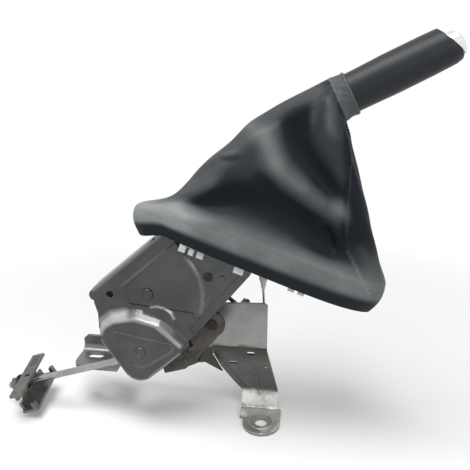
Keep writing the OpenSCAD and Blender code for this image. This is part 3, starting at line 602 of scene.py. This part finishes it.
def sag(a, t):
    """How far the leather hangs down: the hem's lower edge all round, all of the hem at its rear end."""
    back = smoothstep((-np.cos(a) - 0.62) / 0.38)
    edge = HEM_SAG + FRONT_SAG * smoothstep(np.cos(a) + 0.3)
    return edge * np.clip(-t, 0, 1) ** 1.5 + REAR_SAG * back * smoothstep((0.16 - t) / 0.16)


def hem_in(t):
    """How far the hem lies inside the frame's outline: turned under below, belled out half way up."""
    return 4 * (-t) ** 3 - 2.2 * np.sin(-math.pi * t) + (1 + t)


def skin(a, v, inset):
    """Leather between the hem's upper edge and the collar, drawn in by an inset."""
    low = from_frame(*ring(a, inset), np.full_like(a, HEM_H))
    high = collar_ring(a, BOOT_TOP_S, BOOT_TOP_R - inset)
    return (1 - v[..., None]) * low + v[..., None] * high


def boot_surface(a, t):
    """Leather before its smaller folds: t below 0 is the hem, 0 to 1 rises to the collar."""
    v = np.clip(t, 0, 1)
    rear = np.maximum(0, -np.cos(a)) ** 2
    front = np.maximum(0, np.cos(a)) ** 2
    pull = rear * np.interp(v, *REAR_PULL) + front * np.interp(v, *FRONT_PULL)
    pull += (1 - rear - front) * np.interp(v, *SIDE_PULL)
    room = np.abs(skin(a, v, pull)[..., 1]) - LEVER_CLEAR
    pull -= np.maximum(main_fold(a, v), -np.maximum(0, room))
    tuck = hem_in(np.minimum(t, 0)) + REAR_TUCK * rear * np.clip(-t, 0, 1) ** 2
    hem = from_frame(*ring(a, tuck), np.clip(HEM_H * (1 + t), 0, HEM_H))
    return np.where((t < 0)[..., None], hem, skin(a, v, pull)) - sag(a, t)[..., None] * FRAME_UP


def grid_normals(p):
    """Outward normals of a closed ring by height grid."""
    da = np.roll(p, -1, axis=0) - np.roll(p, 1, axis=0)
    dt = np.gradient(p, axis=1)
    n = np.cross(da, dt)
    n /= np.maximum(np.linalg.norm(n, axis=-1, keepdims=True), 1e-9)
    return n


# Columns round the boot, rows of its hem, rows above it; share of even spacing; smoothing passes
NA, NH, NT = 264, 26, 104
EVEN_SHARE, PASSES = 0.75, 16
# Fine waves all over, and how strongly the smaller folds show on the far side
WAVES, WAVE_H, FAR_FOLDS = 14, 0.8, 0.8
t_rows = np.concatenate([np.linspace(-1, 0, NH, endpoint=False), np.linspace(0, 1, NT)])
fine = np.linspace(0, 2 * math.pi, 4001)
fx, fy = ring(fine, 0.0)
run = np.concatenate([[0], np.cumsum(np.hypot(np.diff(fx), np.diff(fy)))])
even = np.interp(np.arange(NA) / NA * run[-1], run, fine)
a_cols = EVEN_SHARE * even + (1 - EVEN_SHARE) * np.arange(NA) / NA * 2 * math.pi
A, T = np.meshgrid(a_cols, t_rows, indexing="ij")
boot = boot_surface(A, T)
for _ in range(PASSES):
    boot[:, 1:-1] = 0.5 * boot[:, 1:-1] + 0.25 * (boot[:, 2:] + boot[:, :-2])
nrm = grid_normals(boot)
seen = boot.copy()
seen[..., 1] = -np.abs(seen[..., 1])
seen_at = to_picture(seen)
h_near = fold_height(seen_at)
near_w = smoothstep((-boot[..., 1] + 6) / 12)
far_w = FAR_FOLDS * (1 - near_w)
keep = smoothstep((1 - T) / 0.06) * np.where(T < 0, smoothstep((T + 1) / 0.5), 1.0)
rng = np.random.default_rng(7)
wave = np.zeros_like(A)
for _ in range(WAVES):
    ka, kt, ph = rng.integers(3, 15), rng.uniform(2, 9), rng.uniform(0, 6.28)
    wave += np.sin(ka * A + kt * T * 3 + ph) * rng.uniform(0.05, 0.22)
lift = h_near * (near_w + far_w) + WAVE_H * wave * smoothstep((T + 0.6) / 0.6)
boot += nrm * (keep * lift)[..., None]


def closed_grid_faces(na, nt):
    """Faces of a grid of na columns in a ring, each of nt points."""
    return [(i * nt + j, ((i + 1) % na) * nt + j, ((i + 1) % na) * nt + j + 1, i * nt + j + 1)
            for i in range(na) for j in range(nt - 1)]


boot_obj = mesh_piece("boot", metres(boot.reshape(-1, 3)), closed_grid_faces(NA, NH + NT),
                      MATS["boot_leather"])
# Painted sheen with dust on the belt of the hem, more so at its rear end; painted light where the leather
# faces up and painted shade on its front side; fold ridges lighter from rubbing and painted light, hollows
# darker as painted shade
BELT_SHEEN_AND_DUST, REAR_SHEEN_AND_DUST, TOP_LIGHT, FRONT_SHADE = 0.55, 0.78, 0.10, 0.19
FOLD_WEAR_AND_SHADE, HEM_FOLD_WEAR_AND_SHADE, COLLAR_LIGHTNESS = 0.055, 0.015, 0.34
belt = smoothstep((T + 0.72) / 0.25) * smoothstep((0.10 - T) / 0.16)
rear_end = smoothstep((-np.cos(A) - 0.25) / 0.5)
folded = np.clip(h_near + main_fold(A, np.clip(T, 0, 1)), -6, 6)
over = smoothstep((T + 0.08) / 0.16)
front_side = smoothstep((np.cos(A) - 0.45) / 0.3)
# Painted light on leather that faces up, painted shade on the front side above the belt
top_light_and_front_shade = TOP_LIGHT + TOP_LIGHT * smoothstep((nrm[..., 2] - 0.1) / 0.5)
top_light_and_front_shade -= FRONT_SHADE * front_side * smoothstep((T - 0.10) / 0.2)
painted_light_and_wear = (BELT_SHEEN_AND_DUST + REAR_SHEEN_AND_DUST * rear_end) * belt
# Fold ridges lighter from rubbing and painted light, hollows darker as painted shade
painted_light_and_wear += keep * (over * (top_light_and_front_shade + FOLD_WEAR_AND_SHADE * folded) + (1 - over) * HEM_FOLD_WEAR_AND_SHADE * folded)
for line, amount, width in SHEEN_AND_SHADE_SPOTS:
    painted_light_and_wear += amount * np.exp(-(near_line(seen_at, line)[0] / width) ** 2)
paint_light_and_wear(boot_obj, 0.5 * (painted_light_and_wear + np.hypot(painted_light_and_wear, 0.05)))
thicken(boot_obj, BOOT_WALL)

# Collar: the boot's neck turned over the grip, two sewn hem ridges; heights over the grip against the place
NC, NS = 120, 40
prof_s = [-7.5, -6.0, -4.6, -3.2, -1.8, -0.6, 0.8, 2.2, 3.4, 4.6, 5.6, 6.3, 6.5]
prof_r = [2.0, 2.2, 2.2, 2.0, 1.7, 1.5, 1.5, 1.6, 1.5, 1.9, 1.9, 1.3, 0.25]
ca = np.arange(NC) / NC * 2 * math.pi
CA, CS = np.meshgrid(ca, np.linspace(prof_s[0], prof_s[-1], NS), indexing="ij")
raised = np.interp(CS, prof_s, prof_r)
CR = GRIP_R + raised + 0.25 * np.sin(9 * CA + 0.5 * CS) * smoothstep((6 - CS) / 4)
CR += 0.18 * np.sin(17 * CA - 0.7 * CS) * smoothstep((6 - CS) / 4)
collar_pts = collar_ring(CA, CS + COLLAR_S, CR)
collar = mesh_piece("collar", metres(collar_pts.reshape(-1, 3)), closed_grid_faces(NC, NS),
                    MATS["boot_leather"])
# Collar's lightness, its raised hem ridges lighter still from rubbing and painted highlight
paint_light_and_wear(collar, COLLAR_LIGHTNESS + 0.16 * (raised - 1.6))
thicken(collar, COLLAR_WALL)

# Stitches along the sewn seams, laid on the leather: spacing in the picture, and lengths that are left out

STITCH_PX, SHORTEST, LONGEST = 3.4, 0.3, 8
boot_n = grid_normals(boot)
facing = (boot_n @ CAM_BACK > 0.05) & (boot[..., 1] < 5)
pic_near = np.where(facing[..., None], to_picture(boot), 1e6)


def on_boot(px):
    """Point and normal of the near side of the boot under a picture point."""
    d = np.linalg.norm(pic_near - np.asarray(px), axis=-1)
    i = np.unravel_index(np.argmin(d), d.shape)
    return boot[i], boot_n[i]


def along(line, step):
    """Points of a line at even steps."""
    line, _, start = measured(line)
    s = np.arange(0, start[-1], step)
    return np.stack([np.interp(s, start, line[:, k]) for k in range(2)], axis=-1)


def stitch_row(name, points, normals, mat, radius=0.32, cover=0.62):
    """Short rounded threads, one for each pair of neighbouring points."""
    verts, faces = [], []
    sides, rings = 6, 5
    for i in range(len(points) - 1):
        p, q = points[i], points[i + 1]
        length = np.linalg.norm(q - p)
        if length > LONGEST or length < SHORTEST:
            continue
        d = (q - p) / length
        n = normals[i] - (normals[i] @ d) * d
        n /= np.linalg.norm(n)
        b = np.cross(d, n)
        base = len(verts)
        for r in range(rings):
            f = r / (rings - 1)
            arch = math.sin(math.pi * f)
            c = p + (q - p) * (0.5 + (f - 0.5) * cover) + n * (radius * (0.9 * arch - 0.35))
            rr = radius * (0.55 + 0.45 * arch)
            for k in range(sides):
                w = 2 * math.pi * k / sides
                verts.append(metres(c + rr * (math.cos(w) * n + math.sin(w) * b)))
        for r in range(rings - 1):
            for k in range(sides):
                faces.append((base + r * sides + k, base + r * sides + (k + 1) % sides,
                              base + (r + 1) * sides + (k + 1) % sides, base + (r + 1) * sides + k))
        faces.append(tuple(base + k for k in reversed(range(sides))))
        faces.append(tuple(base + (rings - 1) * sides + k for k in range(sides)))
    return mesh_piece(name, verts, faces, mat)


SEAM_LINES = {
    "seam_corner": [(348, 249), (358, 270), (369, 293)],
    "seam_front": [(350, 128), (351.5, 163), (348.5, 203), (347, 240)],
}
soft_pieces = []
for name, line in SEAM_LINES.items():
    found = [on_boot(p) for p in along(line, STITCH_PX)]
    pts = np.array([f[0] for f in found])
    nms = np.array([f[1] for f in found])
    soft_pieces.append(stitch_row(name, pts, nms, MATS["thread"]))
for k, s in enumerate((-3.6, 4.0)):
    aa = np.linspace(0, 2 * math.pi, 40)
    pts = collar_ring(aa, s + COLLAR_S, GRIP_R + np.interp(s, prof_s, prof_r) + 0.1)
    nms = np.cos(aa)[:, None] * GRIP_DOWN
    nms[:, 1] += np.sin(aa)
    soft_pieces.append(stitch_row("collar_stitch_%d" % k, pts, nms, MATS["thread"], 0.28))

for obj in [boot_obj, collar] + soft_pieces:
    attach(obj, "lever")
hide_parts("boot_panel_near", "boot_panel_far", "boot_panel_front", "boot_panel_rear")
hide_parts("boot_collar")

# Stage: pale floor, white surroundings, soft studio light

FLOOR_HALF, FLOOR_Z = 6.0, -0.0005
FLOOR_GREY, WORLD_LIGHT = (0.88, 0.88, 0.88, 1), 0.42
FADE_FROM, FADE_TO = 0.22, 0.62


def shown_white(tree):
    """1 for what is seen straight, in metal or through glass, 0 for the light that falls on the object."""
    path = tree.nodes.new("ShaderNodeLightPath")
    out = path.outputs["Is Camera Ray"]
    for other in ("Is Glossy Ray", "Is Transmission Ray"):
        either = tree.nodes.new("ShaderNodeMath")
        either.operation = "MAXIMUM"
        tree.links.new(out, either.inputs[0])
        tree.links.new(path.outputs[other], either.inputs[1])
        out = either.outputs[0]
    return out


floor_me = bpy.data.meshes.new("floor")
corners = [(-1, -1), (1, -1), (1, 1), (-1, 1)]
floor_me.from_pydata([(x * FLOOR_HALF, y * FLOOR_HALF, 0) for x, y in corners], [], [(0, 1, 2, 3)])
floor = bpy.data.objects.new("floor", floor_me)
floor.location = (0, 0, FLOOR_Z)
scene.collection.objects.link(floor)
fm = Nodes("floor")
fm.surface(FLOOR_GREY, 0.8, Specular_IOR_Level=0.1)
away = fm.step("LENGTH", fm.place).outputs["Value"]
fade = fm.span(away, 0.0, 1.0, FADE_FROM, FADE_TO)
white = fm.node("ShaderNodeEmission")
mixed = fm.tree.nodes.new("ShaderNodeMixShader")
fm.feed(mixed.inputs["Fac"], fm.math("MULTIPLY", fade, shown_white(fm.tree)))
fm.feed(mixed.inputs[1], fm.bsdf.outputs["BSDF"])
fm.feed(mixed.inputs[2], white.outputs["Emission"])
fm.feed(fm.tree.nodes["Material Output"].inputs["Surface"], mixed.outputs["Shader"])
floor.data.materials.append(fm.mat)

world = bpy.data.worlds.new("studio")
scene.world = world
world.use_nodes = True
wt = world.node_tree
bg = wt.nodes["Background"]
bg.inputs["Color"].default_value = (1, 1, 1, 1)
level = wt.nodes.new("ShaderNodeMapRange")
level.inputs["To Min"].default_value = WORLD_LIGHT
level.inputs["To Max"].default_value = 1.0
wt.links.new(shown_white(wt), level.inputs["Value"])
wt.links.new(level.outputs["Result"], bg.inputs["Strength"])


def area_light(name, at, target, size, energy):
    data = bpy.data.lights.new(name, "AREA")
    data.shape = "RECTANGLE"
    data.size, data.size_y = size
    data.energy = energy
    obj = bpy.data.objects.new(name, data)
    obj.location = at
    obj.rotation_euler = (Vector(target) - Vector(at)).to_track_quat("-Z", "Y").to_euler()
    scene.collection.objects.link(obj)


MIDDLE = (-0.03, 0, 0.18)
area_light("key", (-0.22, -0.26, 1.20), MIDDLE, size=(1.00, 0.45), energy=13)
area_light("fill", (0.7, -0.9, 0.7), MIDDLE, size=(0.7, 0.7), energy=4)

scene.view_settings.view_transform = "Standard"
